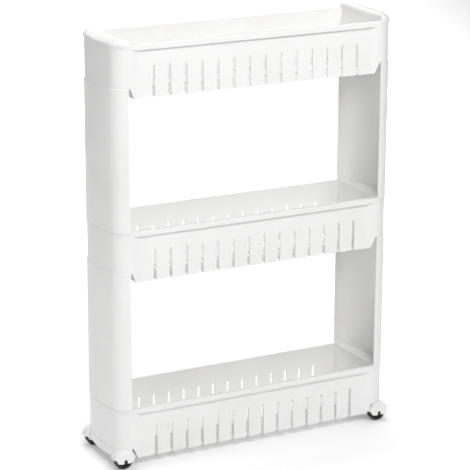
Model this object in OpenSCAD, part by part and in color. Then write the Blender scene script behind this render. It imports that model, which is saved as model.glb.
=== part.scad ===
// Slim rolling utility cart: three slotted trays held apart by curved end panels,
// standing on two wheel bases. X runs along the trays, -Y is the front long side,
// Z is up. The origin is on the ground, at the centre of the cart.
// Each tray is a straight-walled tub inside a rounded end skin. The skin is hollow
// and open below, and the snap tabs of panels and wheel bases reach up into it.

/* [Trays] */
// Rise from one tray to the next
tray_pitch = 297.5; // [260:0.5:340]
// Height of a tray's long wall, rim to lower edge
tray_h = 86; // [80:1:95]
// Height of a tray's end, rim to lower seam
end_h = 68; // [62:1:72]
// Ground to the lower edge of the bottom tray
ground_gap = 16; // [16:0.5:18]
// Wall thickness of a tray
wall = 2.2; // [1.8:0.1:2.4]
// Floor thickness of a tray
floor_t = 2.5; // [2:0.1:3]
// Width across the two long walls
wall_w = 128; // [124:1:130]
// Length over which a long wall's lower corner is cut back
skirt_cut = 8.5; // [7:0.5:11]
// Distance from the middle of the cart to a tub's end wall, at the rim
tub_x = 227; // [226:0.5:229]
// Length over which a long wall swings out to the rounded end
wall_blend = 18; // [10:1:20]

/* [Ends] */
// Width across a tray's rounded end
end_w = 135; // [133:0.5:137]
// Radius of the rounded corners
corner_r = 27; // [25:0.5:29]
// Distance from the middle of the cart to the corner centres
corner_x = 223.4; // [219:0.1:224]
// How far the middle of an end stands out beyond its corners
bow = 4.3; // [3:0.1:6]

/* [Slits] */
// Number of slits in each long wall
slit_count = 14; // [10:2:14]
// Distance from one slit to the next
slit_pitch = 28; // [24:0.5:28]
// Width of a slit at its upper end
slit_top_w = 3.8; // [3:0.1:4.5]
// Width of a slit at its lower end
slit_low_w = 5.6; // [5:0.1:6.5]
// Length of a slit
slit_h = 51.5; // [40:0.5:56]
// Length of the slots across a tray's floor
floor_slot_l = 100; // [60:1:108]

/* [Rims and lips] */
// Height of the band that hangs from a long wall's upper edge
rim_h = 9; // [6:0.5:12]
// How far the band stands out from the wall
rim_out = 4.5; // [4:0.1:5]
// Rise of the top tray's end lips above its rim
lip_rise = 10.5; // [8:0.5:12]

/* [Panels] */
// Thickness of an end panel
panel_t = 2.4; // [2:0.1:2.6]
// How far a panel stands out beyond the tray ends
panel_out = 1.2; // [0.8:0.1:1.5]
// Distance from the middle of the cart to a panel's front and back edges
panel_edge = 225.8; // [225.5:0.1:227]
// How far a panel reaches down over the tray below
panel_lap = 2; // [1:0.5:3]

/* [Wheels] */
// Wheel diameter
wheel_d = 30.5; // [28:0.5:30.5]
// Wheel width
wheel_w = 11; // [9:0.5:11]
// Axle diameter
axle_d = 6; // [5:0.5:6]
// Axle length
axle_l = 22.6; // [22:0.2:23]
// Distance from the middle of the cart to the wheel centres
wheel_x = 238.5; // [236:0.5:240]
// Distance from the middle of the cart's width to the wheel centres
wheel_y = 58.5; // [57:0.5:59]
// Radial running clearance of an axle in its bearings
axle_gap = 0.06; // [0.04:0.01:0.1]

/* [Wheel bases] */
// Outer radius of a wheel hood
hood_r = 20; // [19.8:0.1:20.2]
// Middle of a wheel hood to its flat front and back
hood_depth = 11.5; // [11.4:0.1:12]
// Wall thickness of a wheel hood
hood_t = 2.1; // [1.9:0.1:2.1]
// Ground to the lower edge of a wheel hood
hood_low = 19; // [18.5:0.5:21]
// Height of the strip that joins two hoods
strip_h = 16; // [12:0.5:18]
// Ground to the lower end of a hood's bearing ears
ear_low = 11.5; // [11:0.5:12.5]

/* [Hidden] */
$fn = 64;
eps = 0.01;
over = 1;

// Levels: each tray hangs from its rim
rim_low = ground_gap + tray_h;
rim_mid = rim_low + tray_pitch;
rim_top = rim_mid + tray_pitch;
base_top = rim_low - end_h;

// Half sizes
half_wall = wall_w / 2;
corner_y = end_w / 2 - corner_r;
slit_first = -(slit_count - 1) / 2 * slit_pitch;
floor_notch = 10;

// The band along a long wall: rounded edge, thickness, and reach past the wall's ends
rim_edge = 1;
rim_t = 1.8;
rim_past = 2;

// The bowed end is an arc that runs into both corner arcs
end_x = corner_x + corner_r + bow;
bow_k = corner_r + bow;
bow_r = (bow_k * bow_k + corner_y * corner_y - corner_r * corner_r) / (2 * bow);
bow_x = end_x - bow_r;
bow_a = atan2(corner_y, corner_x - bow_x);
arc_steps = 8;

// Snap tabs that locate panels and wheel bases, inside the end skins
tab_h = 8;
tab_w = 16;
tab_t = 1.9;
tab_gap = 0.25;
tab_reach = 6;
tab_out = -wall - tab_gap;
panel_tabs = [-38, 0, 38];
base_tabs = [-18, 18];
foot_h = 2.4;
foot_in = tab_out - tab_t - tab_gap;
foot_edge = 3;
foot_join = 0.2;
lap_gap = 0.15;
lap_edge = 1.5;

// Bead round a tray's end skins, below the panels' laps
bead_out = 1.2;
bead_gap = 0.6;
bead_h = 3;

// Section of an end lip: fraction of the way from the end skin to the tub's end wall, height above
// the rim, and set-in. It goes in along the upper face and back along the hollow underside.
lip_t = 2;
lip_section = [
    [0, -2.5, 0], [0, 1.5, 0], [0.12, 0.45 * lip_rise, 0], [0.35, 0.8 * lip_rise, 0],
    [0.7, lip_rise, 0], [0.88, 0.85 * lip_rise, 0], [1, 0.25 * lip_rise, 0], [1, -1, 0],
    [1, -1, lip_t], [0.95, 0.5 * lip_rise, lip_t], [0.7, lip_rise - 2.2, lip_t],
    [0.35, 0.8 * lip_rise - 2.3, lip_t], [0.12, 0.45 * lip_rise - 2.1, lip_t],
    [0, 0.6, lip_t], [0, -2.5, lip_t]
];
lip_out = 1.5;
lip_foot = tub_x + 0.05;
lip_squeeze = 0.9;
lip_low = 0.8;
lip_a = 87;
ones = [1, 1, 1];

// Bearings in a hood's front and back
throat_w = axle_d - 0.9;
throat_drop = 1.6;
lead_w = 9;
axle_z = wheel_d / 2;
plate_t = 2.2;
plate_in = -1;
strip_out = 0.6;
strip_in = -1.2;
hood_spring = 18;
barrel_spring = 26;
ear_foot = 6.5;
ear_side = 13;
ear_rise = 1.5;
ear_top = 16;

// Wheel details
hub_r = 5.5;
hub_w = wheel_w + 5;
web_r = 10.5;
web_sink = 2.5;
tread_r = 1.2;

plastic = [0.96, 0.96, 0.95];
tyre_black = [0.05, 0.05, 0.05];

// Points of an arc about [x, y] from angle a to angle b
function arc(x, y, r, a, b) =
    [for (i = [0:arc_steps]) let (t = a + (b - a) * i / arc_steps) [x + r * cos(t), y + r * sin(t)]];

// The right-hand end of the plan, grown by g, with its corner arcs turning to angle a
function end_curve(g, a) = concat(
    arc(corner_x, -corner_y, corner_r + g, -a, -bow_a),
    arc(bow_x, 0, bow_r + g, -bow_a * 0.8, bow_a * 0.8),
    arc(corner_x, corner_y, corner_r + g, bow_a, a)
);

function turned(points) = [for (p = points) [-p[0], -p[1]]];

function reversed(points) = [for (i = [len(points) - 1:-1:0]) points[i]];

// Angle at which the corner arc grown by g reaches distance x
function cut_angle(g, x) = acos((x - corner_x) / (corner_r + g));

// Closed plan of a tray: round ends that run into long walls set back to half width y
function tray_plan(g, a, y) =
    let (
        right = end_curve(g, a),
        x = right[len(right) - 1][0] - wall_blend,
        side = [[x, y], [-x, y]]
    )
    concat(right, side, turned(right), turned(side));

// Plan of a band that follows the right-hand end, out to edges at distance x
function band_plan(outer, inner, x) =
    concat(end_curve(outer, cut_angle(outer, x)), reversed(end_curve(inner, cut_angle(inner, x))));

module band(outer, inner, x, low, high) {
    translate([0, 0, low])
        linear_extrude(high - low)
            polygon(band_plan(outer, inner, x));
}

module both_ends() {
    children();
    rotate([0, 0, 180]) children();
}

// One wall outline with its lower corners cut back, drawn in X and Z, across the whole width
module side_profile(rim, high, width) {
    z0 = rim - tray_h;
    z1 = rim - end_h;
    rotate([90, 0, 0])
        linear_extrude(width, center = true)
            polygon([
                [-corner_x, z1], [-corner_x + skirt_cut, z0],
                [corner_x - skirt_cut, z0], [corner_x, z1],
                [corner_x, high], [-corner_x, high]
            ]);
}

// Tapered slits through both long walls
module slits(rim) {
    z0 = rim - tray_h;
    for (i = [0:slit_count - 1])
        translate([slit_first + i * slit_pitch, 0, z0])
            rotate([90, 0, 0])
                linear_extrude(2 * wall_w, center = true)
                    polygon([
                        [-slit_low_w / 2, -over], [slit_low_w / 2, -over],
                        [slit_top_w / 2, slit_h], [-slit_top_w / 2, slit_h]
                    ]);
}

// Long walls below the seam line
module skirts(rim) {
    for (s = [-1, 1])
        translate([0, s * (half_wall - wall / 2), 0])
            side_profile(rim, rim - end_h + eps, wall);
}

// Ring of walls from the seam to the rim
module wall_ring(rim) {
    translate([0, 0, rim - end_h])
        linear_extrude(end_h)
            difference() {
                polygon(tray_plan(0, 90, half_wall));
                polygon(tray_plan(-wall, 85, half_wall - wall));
            }
}

// Floor of a tub, with slots in line with the slits
module tray_floor(rim) {
    z0 = rim - tray_h;
    x0 = corner_x - skirt_cut;
    difference() {
        translate([-x0, -half_wall + wall / 2, z0])
            cube([2 * x0, wall_w - wall, floor_t]);
        for (i = [0:slit_count - 1])
            translate([slit_first + i * slit_pitch, 0, z0 + floor_t / 2]) {
                cube([slit_low_w, floor_slot_l, floor_t * 2], center = true);
                for (s = [-1, 1])
                    translate([0, s * half_wall, 0])
                        cube([slit_low_w, floor_notch, floor_t * 2], center = true);
            }
    }
}

// Straight end walls of a tub: they lean out above the seam, and follow the skirts below it
module tub_ends(rim) {
    z0 = rim - tray_h;
    z1 = rim - end_h;
    x0 = corner_x - skirt_cut;
    both_ends()
        intersection() {
            rotate([90, 0, 0])
                linear_extrude(end_w, center = true)
                    polygon([
                        [tub_x, rim], [tub_x + wall, rim], [corner_x, z1], [x0, z0],
                        [x0 - wall, z0], [x0 - wall / 2, z0 + floor_t], [corner_x - wall, z1 + 1]
                    ]);
            translate([0, 0, z0 - over])
                linear_extrude(tray_h + 2 * over)
                    polygon(tray_plan(-wall / 2, 88, half_wall - wall / 2));
        }
}

// Flat ledge at rim level between a tub's end walls and its end skins
module ledge(rim) {
    x = tub_x + wall / 2;
    inset = wall / 2;
    both_ends()
        translate([0, 0, rim - wall])
            linear_extrude(wall)
                polygon(end_curve(-inset, cut_angle(-inset, x)));
}

// Overhanging bands along both long walls
module rims(rim) {
    y0 = half_wall - wall / 2;
    y1 = half_wall + rim_out;
    for (s = [0, 180])
        rotate([0, 0, s])
            rotate([90, 0, 90])
                linear_extrude(2 * (corner_x + rim_past), center = true)
                    polygon([
                        [y0, rim], [y1 - rim_edge, rim], [y1, rim - rim_edge], [y1, rim - rim_h],
                        [y1 - rim_t, rim - rim_h], [y1 - rim_t, rim - wall], [y0, rim - wall]
                    ]);
}

// Beads round the end skins, just below the panels' laps
module beads(rim) {
    both_ends()
        translate([0, 0, rim - panel_lap - bead_gap - bead_h])
            linear_extrude(bead_h)
                polygon(concat(end_curve(bead_out, 90), reversed(end_curve(-wall / 2, 90))));
}

// Snap tabs along the right-hand end, between two levels
module tabs(places, low, high, grow) {
    intersection() {
        band(tab_out + grow, tab_out - tab_t - grow, corner_x + tab_reach, low, high);
        for (y = places)
            translate([corner_x, y - tab_w / 2 - grow, low])
                cube([2 * corner_r, tab_w + 2 * grow, high - low]);
    }
}

module tray(rim) {
    difference() {
        union() {
            wall_ring(rim);
            skirts(rim);
        }
        slits(rim);
    }
    tray_floor(rim);
    tub_ends(rim);
    rims(rim);
}

// Tray that carries panels: its ledges are slotted for their tabs
module slotted_tray(rim) {
    tray(rim);
    beads(rim);
    difference() {
        ledge(rim);
        both_ends() tabs(panel_tabs, rim - wall - over, rim + over, tab_gap);
    }
}

// Height factor of the lip along the end: full round the bow, lower at both tips
function lip_height(i) =
    let (last = 3 * arc_steps + 2)
    min(1, lip_low + (1 - lip_low) * min(i, last - i) / arc_steps);

// Point of the section at one station, on the line from the end skin to the foot on the tub's end wall
function lip_point(i, section, rim) =
    let (
        skin = end_curve(lip_out, lip_a)[i],
        across = [lip_foot, skin[1] * lip_squeeze] - skin,
        length = norm(across),
        d = section[2] + section[0] * (length - 2 * section[2]),
        p = skin + across * d / length
    )
    [p[0], p[1], rim + section[1] * lip_height(i)];

// Triangles that close the lip's section of m points at one station, whose first point is k
function cap(k, m) =
    let (half = (m - 1) / 2)
    concat(
        [for (j = [0:half - 2]) each [[j, j + 1, m - 2 - j] + k * ones, [j, m - 2 - j, m - 1 - j] + k * ones]],
        [[half - 1, half, half + 1] + k * ones]
    );

// Raised hollow lip over the right-hand end of the top tray
module end_lip(rim) {
    stations = 3 * arc_steps + 3;
    m = len(lip_section);
    points = [for (i = [0:stations - 1]) for (s = lip_section) lip_point(i, s, rim)];
    sides = [
        for (i = [0:stations - 2]) for (j = [0:m - 1])
            let (a = i * m + j, b = i * m + (j + 1) % m)
            each [[a, b, b + m], [a, b + m, a + m]]
    ];
    first = [for (t = cap(0, m)) reversed(t)];
    last = cap((stations - 1) * m, m);
    polyhedron(points, concat(sides, first, last));
}

module top_tray() {
    color(plastic) {
        tray(rim_top);
        both_ends() end_lip(rim_top);
    }
}

module middle_tray() {
    color(plastic) slotted_tray(rim_mid);
}

module bottom_tray() {
    color(plastic) slotted_tray(rim_low);
}

// Curved end panel that stands on the tray whose rim is given
module panel(rim) {
    high = rim + tray_pitch - end_h;
    panel_in = panel_out - panel_t;
    color(plastic) {
        band(panel_out, panel_in, panel_edge, rim, high);
        band(panel_out, lap_gap, panel_edge + lap_edge, rim - panel_lap, rim + eps);
        band(panel_in + foot_join, foot_in, panel_edge + foot_edge, rim, rim + foot_h);
        band(panel_in + foot_join, foot_in, panel_edge + foot_edge, high - foot_h, high);
        tabs(panel_tabs, rim - tab_h, rim + foot_h / 2, 0);
        tabs(panel_tabs, high - foot_h / 2, high + tab_h, 0);
    }
}

module upper_right_panel() {
    panel(rim_mid);
}

module upper_left_panel() {
    rotate([0, 0, 180]) panel(rim_mid);
}

module lower_right_panel() {
    panel(rim_low);
}

module lower_left_panel() {
    rotate([0, 0, 180]) panel(rim_low);
}

// Domed solid of revolution: straight up to the spring line, then an elliptic cap
module dome(r, low, spring, high) {
    rotate_extrude()
        polygon(concat(
            [[0, low], [r, low]],
            [for (i = [0:10]) [r * cos(i * 9), spring + (high - spring) * sin(i * 9)]]
        ));
}

// Solid of a hood: a dome between a flat front and back, whose upper edges are rounded
module hood_solid(r, depth, low, high) {
    rise = barrel_spring - hood_spring;
    spring = high - (base_top - hood_spring);
    intersection() {
        dome(r, low, spring, high);
        rotate([90, 0, 90])
            linear_extrude(2 * r + over, center = true)
                polygon(concat(
                    [[-depth, low], [depth, low]],
                    [for (i = [0:20])
                        [depth * cos(i * 9), spring + rise + (high - spring - rise) * sin(i * 9)]]
                ));
    }
}

// Hood over one wheel, about the wheel's centre line, with a bearing ear in its front and its back
module hood() {
    wall_y = hood_depth - hood_t / 2;
    difference() {
        union() {
            difference() {
                hood_solid(hood_r, hood_depth, hood_low, base_top);
                hood_solid(hood_r - hood_t, hood_depth - hood_t, hood_low - over, base_top - plate_t);
            }
            for (s = [-1, 1])
                translate([0, s * wall_y, 0])
                    rotate([90, 0, 0])
                        linear_extrude(hood_t, center = true)
                            polygon([
                                [-ear_foot, ear_low], [ear_foot, ear_low], [ear_side, ear_low + ear_rise],
                                [ear_top, hood_low], [ear_top, hood_low + over], [-ear_top, hood_low + over],
                                [-ear_top, hood_low], [-ear_side, ear_low + ear_rise]
                            ]);
        }
        bearing_cut();
    }
}

// Bore for the axle through the front and the back, with a flared throat below it
module bearing_cut() {
    long = 2 * (hood_depth + over);
    translate([0, 0, axle_z])
        rotate([90, 0, 0])
            cylinder(r = axle_d / 2 + axle_gap, h = long, center = true);
    rotate([90, 0, 0])
        linear_extrude(long, center = true)
            polygon([
                [-lead_w / 2, ear_low - over], [lead_w / 2, ear_low - over],
                [throat_w / 2, axle_z - throat_drop], [throat_w / 2, axle_z],
                [-throat_w / 2, axle_z], [-throat_w / 2, axle_z - throat_drop]
            ]);
}

// Base under the right-hand end: a curved strip, a top plate, tabs and two hoods
module wheel_base() {
    color(plastic) {
        difference() {
            union() {
                band(strip_out, strip_in, panel_edge, base_top - strip_h, base_top);
                translate([0, 0, base_top - plate_t])
                    linear_extrude(plate_t)
                        polygon(end_curve(plate_in, cut_angle(plate_in, panel_edge)));
            }
            for (s = [-1, 1])
                translate([wheel_x, s * wheel_y, 0])
                    hood_solid(hood_r - hood_t / 2, hood_depth - hood_t / 2, -over, base_top - plate_t / 2);
        }
        tabs(base_tabs, base_top - plate_t / 2, base_top + tab_h, 0);
        for (s = [-1, 1])
            translate([wheel_x, s * wheel_y, 0])
                hood();
    }
}

module right_wheel_base() {
    wheel_base();
}

module left_wheel_base() {
    rotate([0, 0, 180]) wheel_base();
}

// Wheel turned about its axle, with a rounded tread, sunk faces and a longer hub
module wheel(x, y) {
    r = wheel_d / 2;
    w = wheel_w / 2;
    color(tyre_black)
        translate([x, y, axle_z])
            rotate([90, 0, 0])
                rotate_extrude()
                    polygon([
                        [axle_d / 2, -hub_w / 2], [hub_r, -hub_w / 2], [hub_r, -w + web_sink],
                        [web_r, -w + web_sink], [web_r, -w], [r - tread_r, -w], [r, -w + tread_r],
                        [r, w - tread_r], [r - tread_r, w], [web_r, w], [web_r, w - web_sink],
                        [hub_r, w - web_sink], [hub_r, hub_w / 2], [axle_d / 2, hub_w / 2]
                    ]);
}

module axle(x, y) {
    color(tyre_black)
        translate([x, y, axle_z])
            rotate([90, 0, 0])
                cylinder(d = axle_d, h = axle_l, center = true);
}

module wheel_front_left() {
    wheel(-wheel_x, -wheel_y);
}

module wheel_front_right() {
    wheel(wheel_x, -wheel_y);
}

module wheel_rear_left() {
    wheel(-wheel_x, wheel_y);
}

module wheel_rear_right() {
    wheel(wheel_x, wheel_y);
}

module axle_front_left() {
    axle(-wheel_x, -wheel_y);
}

module axle_front_right() {
    axle(wheel_x, -wheel_y);
}

module axle_rear_left() {
    axle(-wheel_x, wheel_y);
}

module axle_rear_right() {
    axle(wheel_x, wheel_y);
}

top_tray();
middle_tray();
bottom_tray();
upper_left_panel();
upper_right_panel();
lower_left_panel();
lower_right_panel();
left_wheel_base();
right_wheel_base();
wheel_front_left();
wheel_front_right();
wheel_rear_left();
wheel_rear_right();
axle_front_left();
axle_front_right();
axle_rear_left();
axle_rear_right();
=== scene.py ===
import math

import bmesh
import bpy
from mathutils import Matrix, Vector


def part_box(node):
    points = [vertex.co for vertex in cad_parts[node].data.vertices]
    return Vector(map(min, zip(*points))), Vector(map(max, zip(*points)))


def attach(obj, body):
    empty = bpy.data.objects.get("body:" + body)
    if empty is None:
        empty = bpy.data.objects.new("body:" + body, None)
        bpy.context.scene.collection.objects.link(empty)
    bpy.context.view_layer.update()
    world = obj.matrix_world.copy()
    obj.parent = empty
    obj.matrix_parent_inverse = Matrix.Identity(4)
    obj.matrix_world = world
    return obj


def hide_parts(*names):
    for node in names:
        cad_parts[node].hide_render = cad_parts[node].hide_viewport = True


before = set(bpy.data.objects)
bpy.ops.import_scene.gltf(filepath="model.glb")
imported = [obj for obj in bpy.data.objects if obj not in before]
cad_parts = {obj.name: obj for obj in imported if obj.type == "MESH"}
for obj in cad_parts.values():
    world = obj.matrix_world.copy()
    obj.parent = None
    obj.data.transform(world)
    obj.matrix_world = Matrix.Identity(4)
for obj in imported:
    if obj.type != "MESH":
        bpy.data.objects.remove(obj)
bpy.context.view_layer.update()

# All lengths below are in millimetres, and become metres when a mesh is made.
MM = 0.001


# ---------------------------------------------------------------- sizes

def box_mm(node):
    """Corners of a node's box in millimetres."""
    low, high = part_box(node)
    return low / MM, high / MM


CORNER_R = 27.0          # the trays' rounded corners in plan
BOW = 4.3                # how far an end's middle stands out beyond its corners
WALL = 2.2               # wall of a tray
FLOOR = 2.5              # floor of a tray
HALF_WALL = 64.0         # middle of the cart to a long wall's outer face
HALF_END = 67.5          # the same, to an end skin's front
END_H = 68.0             # rim to the seam below it
TUB_X = 227.0            # middle of the cart to a tub's end wall, at the rim
SKIRT_CUT = 8.5          # cut-back corner of a long wall
SLITS = 14               # slits in each long wall
SLIT_PITCH = 28.0        # from one slit to the next
SLIT_TOP = 3.8           # a slit's width at its upper end
SLIT_LOW = 5.6           # a slit's width at its lower end
SLIT_H = 51.5            # a slit's length
FLOOR_SLOT = 100.0       # length of the slots across a floor
FLOOR_NOTCH = 5.0        # reach of a floor's edge notches, to either side of a wall's face
RIM_H = 9.0              # height of the band along a long rim
RIM_OUT = 4.5            # how far the band stands out from the wall
RIM_T = 1.8              # thickness of the band
LIP_RISE = 10.5          # rise of the top tray's lips above its rim
PANEL_OUT = 1.2          # how far a panel stands out beyond the end skins
PANEL_T = 2.4            # thickness of a panel
PANEL_EDGE = 225.8       # middle of the cart to a panel's front and back edges
BEAD_OUT = 1.2           # how far a bead stands out beyond the end skin
OVER = 1.0               # how far a cutter reaches past what it cuts

END_X = box_mm("middle_tray")[1].x - BEAD_OUT
CORNER_X = END_X - CORNER_R - BOW
CORNER_Y = HALF_END - CORNER_R
RIM_MID = box_mm("middle_tray")[1].z
RIM_LOW = box_mm("bottom_tray")[1].z
RIM_TOP = box_mm("top_tray")[1].z - LIP_RISE
TRAY_H = RIM_MID - box_mm("middle_tray")[0].z
BASE_TOP = RIM_LOW - END_H

# The bowed end is an arc that runs into both corner arcs
BOW_K = CORNER_R + BOW
BOW_R = (BOW_K ** 2 + CORNER_Y ** 2 - CORNER_R ** 2) / (2 * BOW)
BOW_X = END_X - BOW_R
BOW_A = math.atan2(CORNER_Y, CORNER_X - BOW_X)


# ---------------------------------------------------------------- mesh tools

def make(name, verts, faces):
    """Object from points in millimetres, with its normals outwards."""
    mesh = bpy.data.meshes.new(name)
    mesh.from_pydata([Vector(v) * MM for v in verts], [], faces)
    bm = bmesh.new()
    bm.from_mesh(mesh)
    bmesh.ops.recalc_face_normals(bm, faces=bm.faces)
    bm.to_mesh(mesh)
    bm.free()
    obj = bpy.data.objects.new(name, mesh)
    bpy.context.scene.collection.objects.link(obj)
    return obj


def joined(*parts):
    """One object from several that don't touch."""
    bm = bmesh.new()
    for p in parts:
        bm.from_mesh(p.data)
    bm.to_mesh(parts[0].data)
    bm.free()
    for p in parts[1:]:
        bpy.data.objects.remove(p)
    return parts[0]


def copied(obj, matrix):
    """A second object, moved by the matrix."""
    other = bpy.data.objects.new(obj.name, obj.data.copy())
    bpy.context.scene.collection.objects.link(other)
    other.data.transform(matrix)
    return other


HALF_TURN = Matrix.Rotation(math.pi, 4, "Z")


def both_ends(obj):
    """The object and its copy at the left-hand end."""
    return joined(obj, copied(obj, HALF_TURN))


def shifted(x, y, z):
    """Move by millimetres, as a matrix."""
    return Matrix.Translation((x * MM, y * MM, z * MM))


def loft(rings, name="loft"):
    """Closed solid through closed rings of equal length, with flat caps."""
    m = len(rings[0])
    verts = [p for r in rings for p in r]
    faces = []
    for i in range(len(rings) - 1):
        for j in range(m):
            k = (j + 1) % m
            faces.append((i * m + j, i * m + k, (i + 1) * m + k, (i + 1) * m + j))
    faces.append(tuple(range(m))[::-1])
    faces.append(tuple((len(rings) - 1) * m + j for j in range(m)))
    return make(name, verts, faces)


def prism(outline, low, high, axis="Z"):
    """Outline extruded along an axis.

    The outline is in X and Y for Z, in X and Z for Y, and in Y and Z for X.
    """
    place = {
        "Z": lambda a, b, c: (a, b, c),
        "Y": lambda a, b, c: (a, c, b),
        "X": lambda a, b, c: (c, a, b),
    }[axis]
    return loft([[place(a, b, c) for a, b in outline] for c in (low, high)])


def block(x0, x1, y0, y1, z0, z1):
    """Box between two values on each axis."""
    return prism([(x0, y0), (x1, y0), (x1, y1), (x0, y1)], z0, z1)


def lathe(profile, steps=64):
    """Solid of revolution about Z, from points of (radius, height) that may touch the axis."""
    bm = bmesh.new()
    verts = [bm.verts.new((r * MM, 0, z * MM)) for r, z in profile]
    edges = [bm.edges.new((verts[i], verts[i - 1])) for i in range(len(verts))]
    bmesh.ops.spin(
        bm, geom=verts + edges, cent=(0, 0, 0), axis=(0, 0, 1),
        angle=2 * math.pi, steps=steps, use_merge=True,
    )
    bmesh.ops.remove_doubles(bm, verts=bm.verts, dist=1e-7)
    bmesh.ops.dissolve_degenerate(bm, dist=1e-7, edges=bm.edges)
    bmesh.ops.recalc_face_normals(bm, faces=bm.faces)
    mesh = bpy.data.meshes.new("lathe")
    bm.to_mesh(mesh)
    bm.free()
    obj = bpy.data.objects.new("lathe", mesh)
    bpy.context.scene.collection.objects.link(obj)
    return obj


def baked(obj):
    """The object with its modifiers applied."""
    graph = bpy.context.evaluated_depsgraph_get()
    mesh = bpy.data.meshes.new_from_object(obj.evaluated_get(graph), depsgraph=graph)
    obj.modifiers.clear()
    obj.data = mesh
    return obj


def boolean(base, others, operation):
    """The base after one Boolean operation with each of the others, which are used up."""
    for other in others:
        mod = base.modifiers.new("cut", "BOOLEAN")
        mod.operation = operation
        mod.solver = "MANIFOLD"
        mod.object = other
        baked(base)
        bpy.data.objects.remove(other)
    return base


def union(base, *others):
    return boolean(base, others, "UNION")


def cut(base, *others):
    return boolean(base, others, "DIFFERENCE")


def stations(a, corner_steps=14, bow_steps=24):
    """Centres, angles and radii along the right-hand end curve, out to angle a on both corners."""
    low = [
        (CORNER_X, -CORNER_Y, -a + (a - BOW_A) * i / corner_steps, CORNER_R)
        for i in range(corner_steps)
    ]
    mid = [(BOW_X, 0.0, -BOW_A + 2 * BOW_A * i / bow_steps, BOW_R) for i in range(bow_steps)]
    high = [
        (CORNER_X, CORNER_Y, BOW_A + (a - BOW_A) * i / corner_steps, CORNER_R)
        for i in range(corner_steps + 1)
    ]
    return low + mid + high


def at(station, g):
    """Point in plan at a station, at distance g beyond the end curve."""
    x, y, t, r = station
    return x + (r + g) * math.cos(t), y + (r + g) * math.sin(t)


def edge_angle(g, x):
    """Angle at which the corner arc grown by g reaches distance x."""
    return math.acos((x - CORNER_X) / (CORNER_R + g))


def sweep(section, a):
    """Closed section of (distance beyond the end curve, height), carried round the end."""
    return loft([[(*at(s, g), z) for g, z in section] for s in stations(a)])


EDGE_STEPS = 4


def band(outer, inner, x, low, high, top_r=0.0):
    """Upright band round the end, cut square to X at distance x.

    top_r rounds its upper outer edge.
    """
    section = [(outer, low)]
    for i in range(EDGE_STEPS + 1 if top_r else 1):
        t = math.pi / (2 * EDGE_STEPS) * i
        section.append((outer - top_r * (1 - math.cos(t)), high - top_r * (1 - math.sin(t))))
    section += [(inner, high), (inner, low)]
    runs = [stations(edge_angle(g, x)) for g, z in section]
    return loft([
        [(*at(run[i], g), z) for run, (g, z) in zip(runs, section)]
        for i in range(len(runs[0]))
    ])


def smooth(t):
    """Eased step from 0 to 1."""
    t = min(1.0, max(0.0, t))
    return t * t * (3 - 2 * t)


def rounded(points, steps=6):
    """Open run of points turned into a smooth curve through them."""
    out = []
    n = len(points)
    for i in range(n - 1):
        p0, p1 = Vector(points[max(i - 1, 0)]), Vector(points[i])
        p2, p3 = Vector(points[i + 1]), Vector(points[min(i + 2, n - 1)])
        for k in range(steps):
            t = k / steps
            out.append(0.5 * (
                2 * p1 + (p2 - p0) * t + (2 * p0 - 5 * p1 + 4 * p2 - p3) * t * t
                + (3 * p1 - p0 - 3 * p2 + p3) * t ** 3
            ))
    out.append(Vector(points[-1]))
    return out


# ---------------------------------------------------------------- materials

def material(name, tones, rough, grain, bump, soft=0.0):
    """Moulded plastic: slow changes of tone, and a fine grain that also drives the roughness."""
    mat = bpy.data.materials.new(name)
    mat.use_nodes = True
    nodes, links = mat.node_tree.nodes, mat.node_tree.links
    shader = nodes["Principled BSDF"]
    place = nodes.new("ShaderNodeTexCoord").outputs["Object"]

    def noise(scale, detail, roughness=0.5):
        n = nodes.new("ShaderNodeTexNoise")
        n.inputs["Scale"].default_value = scale
        n.inputs["Detail"].default_value = detail
        n.inputs["Roughness"].default_value = roughness
        links.new(place, n.inputs["Vector"])
        return n.outputs["Fac"]

    def ramp(source, low, high, left=0.3, right=0.7):
        r = nodes.new("ShaderNodeMapRange")
        r.inputs["From Min"].default_value = left
        r.inputs["From Max"].default_value = right
        r.inputs["To Min"].default_value = low
        r.inputs["To Max"].default_value = high
        links.new(source, r.inputs["Value"])
        return r.outputs["Result"]

    slow = noise(9.0, 3.0)
    mix = nodes.new("ShaderNodeMix")
    mix.data_type = "RGBA"
    mix.inputs["A"].default_value = (*tones[0], 1)
    mix.inputs["B"].default_value = (*tones[1], 1)
    links.new(ramp(slow, 0.0, 1.0), mix.inputs["Factor"])
    links.new(mix.outputs["Result"], shader.inputs["Base Color"])

    fine = noise(grain, 4.0, 0.6)
    links.new(ramp(fine, rough[0], rough[1]), shader.inputs["Roughness"])

    wave = noise(38.0, 1.0)
    low_bump = nodes.new("ShaderNodeBump")
    low_bump.inputs["Strength"].default_value = bump[0]
    low_bump.inputs["Distance"].default_value = 0.001
    links.new(wave, low_bump.inputs["Height"])
    high_bump = nodes.new("ShaderNodeBump")
    high_bump.inputs["Strength"].default_value = bump[1]
    high_bump.inputs["Distance"].default_value = 0.0002
    links.new(fine, high_bump.inputs["Height"])
    links.new(low_bump.outputs["Normal"], high_bump.inputs["Normal"])
    links.new(high_bump.outputs["Normal"], shader.inputs["Normal"])

    shader.inputs["Specular IOR Level"].default_value = 0.5
    shader.inputs["Subsurface Weight"].default_value = soft
    shader.inputs["Subsurface Scale"].default_value = 0.002
    return mat


WHITE = material(
    "white_polypropylene", ((0.86, 0.86, 0.85), (0.90, 0.90, 0.895)),
    rough=(0.34, 0.46), grain=900.0, bump=(0.12, 0.10), soft=0.05,
)
WHEEL = material(
    "wheel_plastic", ((0.012, 0.012, 0.013), (0.022, 0.022, 0.022)),
    rough=(0.42, 0.62), grain=700.0, bump=(0.10, 0.35),
)
AXLE = material(
    "axle_plastic", ((0.010, 0.010, 0.011), (0.020, 0.020, 0.020)),
    rough=(0.25, 0.38), grain=800.0, bump=(0.05, 0.15),
)


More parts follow.
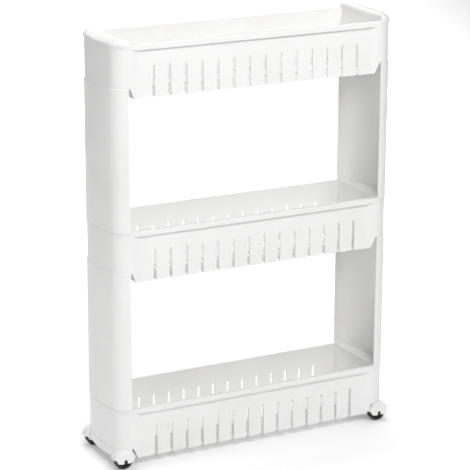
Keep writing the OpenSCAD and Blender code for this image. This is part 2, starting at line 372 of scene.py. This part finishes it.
def split(bm, point, normal):
    """Cuts the faces along a plane, so that no flat face has a hole in it."""
    bmesh.ops.bisect_plane(
        bm, geom=list(bm.verts) + list(bm.edges) + list(bm.faces), dist=1e-6,
        plane_co=Vector(point) * MM, plane_no=normal,
    )


def finished(obj, name, body, nodes, mat, slot, edge=0.5, angle=38, splits=()):
    """Rounds the edges that are sharper than angle, shades the piece and ties it to the frame."""
    obj.name = name
    obj.data.name = name
    bm = bmesh.new()
    bm.from_mesh(obj.data)
    bmesh.ops.remove_doubles(bm, verts=bm.verts, dist=2e-6)
    bmesh.ops.dissolve_limit(
        bm, angle_limit=math.radians(0.5), verts=bm.verts, edges=bm.edges, delimit={"NORMAL"}
    )
    for point, normal in splits:
        split(bm, point, normal)
    bm.to_mesh(obj.data)
    bm.free()
    if edge:
        mod = obj.modifiers.new("edge", "BEVEL")
        mod.width = edge * MM
        mod.segments = 2
        mod.limit_method = "ANGLE"
        mod.angle_limit = math.radians(angle)
        mod.use_clamp_overlap = True
        mod.miter_outer = "MITER_ARC"
    obj.data.shade_smooth()
    baked(obj)
    obj.data.shade_smooth()
    obj.data.set_sharp_from_angle(angle=math.radians(angle + 4))
    normals = obj.modifiers.new("normals", "WEIGHTED_NORMAL")
    normals.keep_sharp = True
    normals.weight = 80
    baked(obj)
    obj.data.materials.clear()
    obj.data.materials.append(mat)
    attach(obj, body)
    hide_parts(*nodes)
    return obj


# ---------------------------------------------------------------- trays

SLIT_PLACES = [(i - (SLITS - 1) / 2) * SLIT_PITCH for i in range(SLITS)]


def long_wall(rim, side):
    """Long wall as a comb: its slits are open at the lower edge."""
    z0, z1 = rim - TRAY_H, rim - END_H
    outline = [(-CORNER_X, rim), (-CORNER_X, z1), (-CORNER_X + SKIRT_CUT, z0)]
    for x in SLIT_PLACES:
        outline += [
            (x - SLIT_LOW / 2, z0), (x - SLIT_TOP / 2, z0 + SLIT_H),
            (x + SLIT_TOP / 2, z0 + SLIT_H), (x + SLIT_LOW / 2, z0),
        ]
    outline += [(CORNER_X - SKIRT_CUT, z0), (CORNER_X, z1), (CORNER_X, rim)]
    y = side * HALF_WALL
    return prism(outline, min(y, y - side * WALL), max(y, y - side * WALL), "Y")


# Where a long wall starts to swing out to the end skin, and where it gets there
RAMP_X, RAMP_END = CORNER_X - 18.7, CORNER_X - 0.7
BLEND_RINGS = 27         # rings of a blend, 1 mm apart
BLEND_TUCK = 0.02        # how far a blend stays inside the end skin


def wall_face(x):
    """How far out the long wall's face is at distance x from the cart's middle."""
    return HALF_WALL + (HALF_END - HALF_WALL) * smooth((x - RAMP_X) / (RAMP_END - RAMP_X))


def skin_face(x):
    """Front of the end skin at distance x."""
    if x <= CORNER_X:
        return HALF_END
    return CORNER_Y + math.sqrt(CORNER_R ** 2 - (x - CORNER_X) ** 2)


def wall_blend(rim, side):
    """Where a long wall swings out to the end skin, and closes the tub's corner."""
    z0, z1 = rim - TRAY_H, rim - END_H
    rings = []
    inner = HALF_WALL - WALL
    for i in range(BLEND_RINGS):
        x = RAMP_X - 1 + i
        low = z0 + max(0.0, x - CORNER_X + SKIRT_CUT) * (z1 - z0) / SKIRT_CUT
        low = min(low, z1)
        outer = wall_face(x) if x < RAMP_END else skin_face(x) - BLEND_TUCK
        outer = max(outer, HALF_WALL)
        rings.append([
            (x, side * inner, low), (x, side * outer, low),
            (x, side * outer, rim), (x, side * inner, rim),
        ])
    return loft(rings)


def end_skin(rim):
    """Outer skin round the right-hand end."""
    return sweep([(0, rim - END_H), (0, rim), (-WALL, rim), (-WALL, rim - END_H)], math.pi / 2)


def tub_end(rim):
    """Straight end wall of a tub. It leans out above the seam, and follows the skirts below it."""
    z0, z1, x0 = rim - TRAY_H, rim - END_H, CORNER_X - SKIRT_CUT
    outline = [
        (TUB_X, rim), (TUB_X + WALL, rim), (CORNER_X, z1), (x0, z0),
        (x0 - WALL, z0), (x0 - WALL / 2, z0 + FLOOR), (CORNER_X - WALL, z1 + 1),
    ]
    half = HALF_WALL - WALL / 2
    return prism(outline, -half, half, "Y")


def ledge(rim):
    """Flat top between a tub's end wall and the end skin."""
    x, inset = TUB_X + WALL / 2, WALL / 2
    outline = [at(s, -inset) for s in stations(edge_angle(-inset, x))]
    return prism(outline, rim - WALL, rim)


def tray_floor(rim):
    """Floor with slots across it, and notches where the walls' slits run into it."""
    z0, x0, y0 = rim - TRAY_H, CORNER_X - SKIRT_CUT, HALF_WALL - WALL / 2
    plate = block(-x0, x0, -y0, y0, z0, z0 + FLOOR)
    runs = (
        (-FLOOR_SLOT / 2, FLOOR_SLOT / 2),
        (HALF_WALL - FLOOR_NOTCH, HALF_WALL + FLOOR_NOTCH),
        (-HALF_WALL - FLOOR_NOTCH, FLOOR_NOTCH - HALF_WALL),
    )
    half, low, high = SLIT_LOW / 2, z0 - 2 * OVER, z0 + FLOOR + 2 * OVER
    slots = [block(x - half, x + half, a, b, low, high) for x in SLIT_PLACES for a, b in runs]
    return cut(plate, joined(*slots))


# Where the rim band's lower edge curls up, where the band dies away, and how far it curls up
CURL_X, CURL_END, CURL_RISE = CORNER_X - 12.7, CORNER_X + 2.3, 4.0
CURL_RINGS = 16                  # rings of a curl, 1 mm apart
RIM_STATIONS = [-190.0, 0.0, 190.0]
RIM_STAND, RIM_BITE = 0.05, 0.4  # at the band's ends: its stand-out and its reach into the wall

# The band's rounded upper and lower edges: set-in from its face, and distance from its top or foot
RIM_TOP_EDGE = [(1.5, 0.0), (0.9, 0.12), (0.44, 0.44), (0.12, 0.9), (0.0, 1.5)]
RIM_LOW_EDGE = [(0.0, 0.6), (0.18, 0.18), (0.6, 0.0)]


def rim_band(rim, side):
    """Band that hangs from a long wall's upper edge."""
    xs = [-CURL_END + i for i in range(CURL_RINGS)] + RIM_STATIONS
    xs += [CURL_X + i for i in range(CURL_RINGS)]
    rings = []
    inner = HALF_WALL - WALL / 2
    for x in xs:
        fade = smooth((abs(x) - CURL_X) / (CURL_END - CURL_X))
        full = HALF_WALL + RIM_OUT
        outer = full + (skin_face(abs(x)) + RIM_STAND - full) * fade
        low = rim - RIM_H + CURL_RISE * fade
        back = outer - RIM_T
        if fade > 0:
            back = max(back, wall_face(abs(x)) - RIM_BITE)
        section = [(inner, rim)]
        section += [(outer - a, rim - b) for a, b in RIM_TOP_EDGE]
        section += [(outer - a, low + b) for a, b in RIM_LOW_EDGE]
        section += [(back, low), (back, rim - WALL), (inner, rim - WALL)]
        rings.append([(x, side * y, z) for y, z in section])
    return loft(rings)


# Section of a lip, over it and back under it: fraction of the way from the end skin to the tub's
# end wall, and height above the rim
LIP_TOP = [
    (0.0, -2.6), (0.0, 0.4), (0.03, 2.4), (0.14, 5.0), (0.35, 8.3), (0.6, 10.2),
    (0.78, 10.2), (0.9, 8.0), (0.97, 4.6), (1.0, 1.0), (1.0, -1.0),
]
LIP_UNDER = [
    (1.0, -1.0), (0.97, 2.6), (0.88, 6.2), (0.7, 8.2),
    (0.35, 6.1), (0.12, 2.6), (0.0, 0.4), (0.0, -2.6),
]
LIP_OUT = 1.5                    # how far a lip stands out beyond the end skin
LIP_T = 2.0                      # its thickness
LIP_FOOT = TUB_X + 0.05          # where its foot stands on the tub's end wall
LIP_SQUEEZE = 0.9                # width of its foot, as a share of its outer edge's
LIP_A = math.radians(87.5)       # how far it turns round the corners
LIP_STEPS, LIP_BOW_STEPS = 24, 26
LIP_LOW, LIP_GROWTH = 0.8, 0.2   # its share of full height at a tip, and what a corner adds
LIP_TIP = (0.66, 0.9, 1.0)       # shares of that height at the last stations, which round a tip
PLUG_FROM, PLUG_W = 0.05, 0.9    # a tip's filling: its start and width as shares of the section
PLUG_SINK = 0.3                  # how far it stays below the lip's top


def end_lip(rim):
    """Raised hollow lip over the right-hand end, with solid, rounded tips."""
    top, under = rounded(LIP_TOP), rounded(LIP_UNDER)
    rings, plugs = [], []
    places = stations(LIP_A, LIP_STEPS, LIP_BOW_STEPS)
    plug_rings = len(LIP_TIP)
    for i, s in enumerate(places):
        k = min(i, len(places) - 1 - i)
        tall = min(1.0, LIP_LOW + LIP_GROWTH * smooth(k / LIP_STEPS))
        tall *= LIP_TIP[min(k, plug_rings - 1)]
        skin = Vector(at(s, LIP_OUT))
        across = Vector((LIP_FOOT, skin.y * LIP_SQUEEZE)) - skin

        def point(q, z, inset):
            """Place of a point of the section, inset from both of its sides."""
            d = inset / across.length + q * (1 - 2 * inset / across.length)
            p = skin + across * d
            return p.x, p.y, rim + (z * tall if z > 0 else z)

        upper = [point(q, z, 0) for q, z in top]
        rings.append(upper + [point(q, z, LIP_T) for q, z in under])
        if k < plug_rings:
            plugs.append([point(PLUG_FROM + PLUG_W * q, z - PLUG_SINK, 0) for q, z in top])
    return union(loft(rings), loft(plugs[:plug_rings]), loft(plugs[plug_rings:]))


# Snap tabs: their places across the panels and the bases, their size, and how far in they stand
TAB_PLACES, BASE_TAB_PLACES = (-38.0, 0.0, 38.0), (-18.0, 18.0)
TAB_W, TAB_T, TAB_H, TAB_GAP = 16.0, 1.9, 8.0, 0.25
TAB_OUT = -WALL - TAB_GAP
TAB_STEPS = 8


def end_x(g, y):
    """Distance at which the right-hand end curve, grown by g, is at y."""
    if abs(y) < CORNER_Y:
        return BOW_X + math.sqrt((BOW_R + g) ** 2 - y ** 2)
    return CORNER_X + math.sqrt((CORNER_R + g) ** 2 - (abs(y) - CORNER_Y) ** 2)


def tab_row(places, low, high, grow=0.0):
    """Upright tabs along the right-hand end."""
    outer, inner = TAB_OUT + grow, TAB_OUT - TAB_T - grow
    half = TAB_W / 2 + grow
    tabs = []
    for place in places:
        rings = []
        for k in range(TAB_STEPS + 1):
            y = place - half + 2 * half * k / TAB_STEPS
            rings.append([
                (end_x(g, y), y, z)
                for g, z in ((outer, low), (outer, high), (inner, high), (inner, low))
            ])
        tabs.append(loft(rings))
    return joined(*tabs)


# Bead round a tray's end skin, just below the panel's lap: distance beyond the skin, and depth
# below the rim
BEAD = [
    (-0.5, 2.6), (0.3, 2.6), (0.85, 2.85), (BEAD_OUT, 3.4),
    (BEAD_OUT, 4.6), (0.8, 5.3), (0.0, 5.6), (-0.5, 5.6),
]


def tray(rim, top=False):
    """One tray.

    The top one has lips. The others have beads, and ledges that are slotted for the panels' tabs.
    """
    plate = tray_floor(rim)
    walls = joined(long_wall(rim, -1), long_wall(rim, 1))
    blends = both_ends(joined(wall_blend(rim, -1), wall_blend(rim, 1)))
    skins = both_ends(end_skin(rim))
    tubs = both_ends(tub_end(rim))
    rims = joined(rim_band(rim, -1), rim_band(rim, 1))
    body = union(plate, walls, tubs, blends, skins, rims)
    if top:
        return union(body, both_ends(end_lip(rim)))
    beads = both_ends(sweep([(g, rim - z) for g, z in BEAD], math.pi / 2))
    body = union(body, beads)
    ledges = both_ends(ledge(rim))
    slots = both_ends(tab_row(TAB_PLACES, rim - WALL - OVER, rim + OVER, TAB_GAP))
    return union(body, cut(ledges, slots))


# ---------------------------------------------------------------- panels

PANEL_TOP_R = 1.6
# Inner foot at a panel's lower and upper end: height, reach inwards, front and back edge, overlap
FOOT_H, FOOT_IN = 2.4, TAB_OUT - TAB_T - TAB_GAP
FOOT_EDGE, FOOT_JOIN = PANEL_EDGE + 3, 0.4
# Lap over the tray below: depth, gap to the skin, front and back edge, overlap with the panel
LAP, LAP_GAP, LAP_EDGE, LAP_JOIN = 2.0, 0.15, PANEL_EDGE + 1.5, 0.5


def panel(rim, high):
    """Curved end panel, with inner feet and tabs that reach into the trays below and above."""
    inner = PANEL_OUT - PANEL_T
    body = band(PANEL_OUT, inner, PANEL_EDGE, rim, high, top_r=PANEL_TOP_R)
    lap = band(PANEL_OUT, LAP_GAP, LAP_EDGE, rim - LAP, rim + LAP_JOIN)
    feet = joined(
        band(inner + FOOT_JOIN, FOOT_IN, FOOT_EDGE, rim, rim + FOOT_H),
        band(inner + FOOT_JOIN, FOOT_IN, FOOT_EDGE, high - FOOT_H, high),
    )
    tabs = joined(
        tab_row(TAB_PLACES, rim - TAB_H, rim + FOOT_H / 2),
        tab_row(TAB_PLACES, high - FOOT_H / 2, high + TAB_H),
    )
    return union(body, lap, feet, tabs)


# ---------------------------------------------------------------- wheels and their bases

WHEEL_D, WHEEL_W = 30.5, 11.0
TREAD_R, TREAD_STEPS = 1.6, 5
HUB_R, HUB_W = 5.5, WHEEL_W + 5
WEB_R, WEB_SINK = 10.5, 2.5      # a wheel's sunk face: radius and depth
RIBS, RIB_HALF, RIB_JOIN, RIB_SINK = 6, 0.7, 0.6, 0.7
AXLE_D, AXLE_L, AXLE_EDGE, AXLE_GAP = 6.0, 22.6, 0.5, 0.06
HOOD_R = 19.95           # less than the CAD's, so that this finer curve stays in the CAD's box
HOOD_DEPTH = 11.5        # a wheel's middle to its hood's flat front and back
HOOD_T = 2.1
HOOD_LOW = 19.0          # ground to a hood's lower edge
HOOD_SPRING = 18.0       # height at which a hood's ends start to close in
BARREL_SPRING = 26.0     # the same, for its front and back
HOOD_CORNER = 8.0        # radius of its upright corners
ROOM_CORNER = 7.0        # the same, for the opening in the base that it fills
HOOD_STEPS, BARREL_STEPS, PLAN_STEPS = 14, 24, 8
EAR_LOW = 11.5           # ground to the lower end of a bearing ear
# Half widths of an ear at its foot, above it and at the hood, and the height of the second
EAR_FOOT, EAR_SIDE, EAR_TOP, EAR_RISE = 6.5, 13.0, 16.0, 1.5
# Throat below a bearing: width, its depth below the axle's middle, and its width at the foot
THROAT_W, THROAT_DROP, LEAD_W = AXLE_D - 0.9, 1.6, 9.0
STRIP_H, STRIP_OUT, STRIP_IN, STRIP_TOP_R = 16.0, 0.6, -1.2, 1.2
PLATE_T, PLATE_IN = 2.2, -1.0


def wheel_place(node):
    """Middle of a wheel in the frame."""
    low, high = box_mm(node)
    return (low + high) / 2


WHEEL_X, WHEEL_Y, AXLE_Z = wheel_place("wheel_rear_right")


def dome(r, low, spring, high, steps=72):
    """Solid dome: upright to the spring line, then an elliptic cap."""
    cap = []
    for i in range(HOOD_STEPS):
        t = math.pi / 2 * i / HOOD_STEPS
        cap.append((r * math.cos(t), spring + (high - spring) * math.sin(t)))
    return lathe([(0, low), (r, low)] + cap + [(0, high)], steps)


def along_y(obj, y, z):
    """Turns a solid of revolution from Z to Y, about height z."""
    obj.data.transform(shifted(0, y, z) @ Matrix.Rotation(math.pi / 2, 4, "X"))
    return obj


def hood_plan(r, depth, corner):
    """Plan of a hood: a rectangle with rounded corners."""
    plan = []
    for cx, cy, t0 in ((1, 1, 0), (-1, 1, 90), (-1, -1, 180), (1, -1, 270)):
        for i in range(PLAN_STEPS + 1):
            t = math.radians(t0 + 90 * i / PLAN_STEPS)
            x, y = cx * (r - corner), cy * (depth - corner)
            plan.append((x + corner * math.cos(t), y + corner * math.sin(t)))
    return plan


def hood_solid(r, depth, low, high, corner):
    """Solid of a hood: a dome with a flat front and back, and rounded upper edges and corners."""
    spring = high - (BASE_TOP - HOOD_SPRING)
    shoulder = spring + BARREL_SPRING - HOOD_SPRING
    arch = [(-depth, low), (depth, low)]
    for i in range(BARREL_STEPS + 1):
        t = math.pi * i / BARREL_STEPS
        arch.append((depth * math.cos(t), shoulder + (high - shoulder) * math.sin(t)))
    barrel = prism(arch, -r - OVER, r + OVER, "X")
    pillar = prism(hood_plan(r, depth, corner), low - OVER, high + OVER)
    return boolean(dome(r, low, spring, high), [barrel, pillar], "INTERSECT")


def mirrored(half):
    """Outline from its right-hand half."""
    return half + [(-x, z) for x, z in reversed(half)]


def hood():
    """Hood over one wheel, with a bearing ear in its front and its back."""
    inner, ceiling = HOOD_DEPTH - HOOD_T, BASE_TOP - PLATE_T
    shell = hood_solid(HOOD_R, HOOD_DEPTH, HOOD_LOW, BASE_TOP, HOOD_CORNER)
    room = hood_solid(HOOD_R - HOOD_T, inner, HOOD_LOW - OVER, ceiling, HOOD_CORNER - HOOD_T)
    shell = cut(shell, room)
    ear = mirrored([
        (EAR_FOOT, EAR_LOW), (EAR_SIDE, EAR_LOW + EAR_RISE),
        (EAR_TOP, HOOD_LOW), (EAR_TOP, HOOD_LOW + OVER),
    ])
    long = HOOD_DEPTH + OVER
    ears = joined(prism(ear, -long, -inner, "Y"), prism(ear, inner, long, "Y"))
    plan = prism(hood_plan(HOOD_R, HOOD_DEPTH, HOOD_CORNER), 0, BASE_TOP)
    ears = boolean(ears, [plan], "INTERSECT")
    bore_r, neck = AXLE_D / 2 + AXLE_GAP, AXLE_Z - THROAT_DROP
    bore = along_y(lathe([(0, -long), (bore_r, -long), (bore_r, long), (0, long)]), 0, AXLE_Z)
    throat = mirrored([(LEAD_W / 2, EAR_LOW - OVER), (THROAT_W / 2, neck), (THROAT_W / 2, AXLE_Z)])
    return cut(union(shell, ears), bore, prism(throat, -long, long, "Y"))


def wheel_base():
    """Base under the right-hand end: a curved strip, a top plate, tabs and two hoods."""
    strip = band(STRIP_OUT, STRIP_IN, PANEL_EDGE, BASE_TOP - STRIP_H, BASE_TOP, top_r=STRIP_TOP_R)
    outline = [at(s, PLATE_IN) for s in stations(edge_angle(PLATE_IN, PANEL_EDGE))]
    body = union(strip, prism(outline, BASE_TOP - PLATE_T, BASE_TOP))
    middle, skin = BASE_TOP - PLATE_T / 2, HOOD_T / 2
    rooms, hoods = [], []
    for s in (-1, 1):
        place = shifted(WHEEL_X, s * WHEEL_Y, 0)
        room = hood_solid(HOOD_R - skin, HOOD_DEPTH - skin, -OVER, middle, ROOM_CORNER)
        room.data.transform(place)
        rooms.append(room)
        shell = hood()
        shell.data.transform(place)
        hoods.append(shell)
    body = cut(body, joined(*rooms))
    return union(body, joined(*hoods), tab_row(BASE_TAB_PLACES, middle, BASE_TOP + TAB_H))


def wheel():
    """Wheel about the origin, on the Y axis, with a rounded tread, sunk faces, ribs and a hub."""
    r, w = WHEEL_D / 2, WHEEL_W / 2
    half = [
        (AXLE_D / 2, HUB_W / 2), (HUB_R, HUB_W / 2),
        (HUB_R, w - WEB_SINK), (WEB_R, w - WEB_SINK), (WEB_R, w),
    ]
    for i in range(TREAD_STEPS + 1):
        t = math.pi / 2 * (1 - i / TREAD_STEPS)
        half.append((r - TREAD_R + TREAD_R * math.cos(t), w - TREAD_R + TREAD_R * math.sin(t)))
    body = lathe(half + [(a, -b) for a, b in reversed(half)], 80)
    ribs = []
    for k in range(RIBS):
        face = w - RIB_SINK
        rib = block(HUB_R - RIB_JOIN, WEB_R + RIB_JOIN, -RIB_HALF, RIB_HALF, -face, face)
        rib.data.transform(Matrix.Rotation(2 * math.pi / RIBS * k, 4, "Z"))
        ribs.append(rib)
    return along_y(union(body, joined(*ribs)), 0, 0)


def axle():
    """Axle about the origin, with broken edges."""
    r, h, e = AXLE_D / 2, AXLE_L / 2, AXLE_EDGE
    profile = [(0, -h), (r - e, -h), (r, -h + e), (r, h - e), (r - e, h), (0, h)]
    return along_y(lathe(profile, 48), 0, 0)


# ---------------------------------------------------------------- assembly

PLASTIC = (WHITE, "white_plastic")
TRAY_SPLITS = [((x, 0, 0), (1, 0, 0)) for x in SLIT_PLACES] + [((0, 0, 0), (0, 1, 0))]

tray_high = tray(RIM_TOP, top=True)
finished(tray_high, "tray_top", "chassis", ["top_tray"], *PLASTIC, splits=TRAY_SPLITS)
tray_mid = tray(RIM_MID)
tray_low = copied(tray_mid, shifted(0, 0, RIM_LOW - RIM_MID))
finished(tray_mid, "tray_middle", "chassis", ["middle_tray"], *PLASTIC, splits=TRAY_SPLITS)
finished(tray_low, "tray_bottom", "chassis", ["bottom_tray"], *PLASTIC, splits=TRAY_SPLITS)

for level, rim in (("upper", RIM_MID), ("lower", RIM_LOW)):
    right = panel(rim, rim + RIM_TOP - RIM_MID - END_H)
    left = copied(right, HALF_TURN)
    finished(right, f"panel_{level}_right", "chassis", [f"{level}_right_panel"], *PLASTIC)
    finished(left, f"panel_{level}_left", "chassis", [f"{level}_left_panel"], *PLASTIC)

right_base = wheel_base()
left_base = copied(right_base, HALF_TURN)
finished(right_base, "base_right", "chassis", ["right_wheel_base"], *PLASTIC, edge=0.35)
finished(left_base, "base_left", "chassis", ["left_wheel_base"], *PLASTIC, edge=0.35)

one_wheel, one_axle = wheel(), axle()
for corner in ("front_left", "front_right", "rear_left", "rear_right"):
    place = wheel_place(f"wheel_{corner}")
    move = shifted(*place)
    finished(
        copied(one_wheel, move), f"tyre_{corner}", f"roller_{corner}", [f"wheel_{corner}"],
        WHEEL, "wheel_plastic", edge=0.3,
    )
    finished(
        copied(one_axle, move), f"pin_{corner}", f"roller_{corner}", [f"axle_{corner}"],
        AXLE, "axle_plastic", edge=0.0,
    )
bpy.data.objects.remove(one_wheel)
bpy.data.objects.remove(one_axle)


# ---------------------------------------------------------------- camera, floor and light

CAMERA_AT = Vector((-1.5206, -2.9162, 1.3325))
CAMERA_AZ, CAMERA_EL = math.radians(-27.449), math.radians(16.676)
CAMERA_ROLL = math.radians(0.244)
CAMERA_LENS = 159.46

back = Vector((
    math.sin(CAMERA_AZ) * math.cos(CAMERA_EL),
    -math.cos(CAMERA_AZ) * math.cos(CAMERA_EL),
    math.sin(CAMERA_EL),
))
level = Vector((math.cos(CAMERA_AZ), math.sin(CAMERA_AZ), 0))
right = level * math.cos(CAMERA_ROLL) + back.cross(level) * math.sin(CAMERA_ROLL)
up = back.cross(right)
cam_data = bpy.data.cameras.new("camera")
cam_data.sensor_width = 36
cam_data.lens = CAMERA_LENS
cam_data.clip_end = 60
cam = bpy.data.objects.new("camera", cam_data)
cam.matrix_world = Matrix((
    (right.x, up.x, back.x, CAMERA_AT.x),
    (right.y, up.y, back.y, CAMERA_AT.y),
    (right.z, up.z, back.z, CAMERA_AT.z),
    (0, 0, 0, 1),
))
bpy.context.scene.collection.objects.link(cam)
bpy.context.scene.camera = cam

FLOOR_R, FLOOR_DEPTH = 14000, 20
floor = lathe([(0, -FLOOR_DEPTH), (FLOOR_R, -FLOOR_DEPTH), (FLOOR_R, 0), (0, 0)], 96)
floor.name = "floor"
floor_mat = bpy.data.materials.new("floor")
floor_mat.use_nodes = True
floor_shader = floor_mat.node_tree.nodes["Principled BSDF"]
floor_shader.inputs["Base Color"].default_value = (0.93, 0.93, 0.93, 1)
floor_shader.inputs["Roughness"].default_value = 0.8
floor_shader.inputs["Emission Color"].default_value = (1, 1, 1, 1)
floor_shader.inputs["Emission Strength"].default_value = 0.14
floor_shader.inputs["Specular IOR Level"].default_value = 0.2
floor.data.materials.append(floor_mat)


def softbox(name, place, target, size, power, spread=180, turn=0):
    """Rectangular light. turn is about its own beam, and a small spread keeps it off the cart."""
    data = bpy.data.lights.new(name, "AREA")
    data.shape = "RECTANGLE"
    data.size, data.size_y = size
    data.energy = power
    data.spread = math.radians(spread)
    lamp = bpy.data.objects.new(name, data)
    lamp.location = place
    aim = (Vector(target) - Vector(place)).to_track_quat("-Z", "Y").to_matrix()
    lamp.rotation_euler = (aim @ Matrix.Rotation(math.radians(turn), 3, "Z")).to_euler()
    bpy.context.scene.collection.objects.link(lamp)


softbox("key", (-1.2, -3.6, 2.2), (0, 0, 0.4), (1.2, 1.0), 22)
softbox("top", (0, 0, 3.4), (0, 0, 0), (3.5, 3.5), 28)
softbox("near", (0, -1.6, 1.9), (0, 0, 0.5), (1.8, 1.0), 32)
softbox("side", (-1.9, 0.3, 1.6), (-0.2, 0, 0.5), (0.9, 0.9), 8.5)
softbox("rear", (0, 3.4, 2.2), (0, 0, 0.3), (3, 2), 31)
softbox("floor_rear", (1.25, 2.7, 3.0), (1.25, 2.7, 0), (1.6, 5.0), 38, spread=60, turn=-27)
softbox("floor_left", (-1.1, -0.3, 1.6), (-1.1, -0.3, 0), (0.8, 1.6), 1.5, spread=60)

world = bpy.data.worlds.new("studio")
world.use_nodes = True
world.node_tree.nodes["Background"].inputs["Color"].default_value = (1, 1, 1, 1)
world.node_tree.nodes["Background"].inputs["Strength"].default_value = 0.02
bpy.context.scene.world = world
bpy.context.scene.view_settings.view_transform = "Standard"
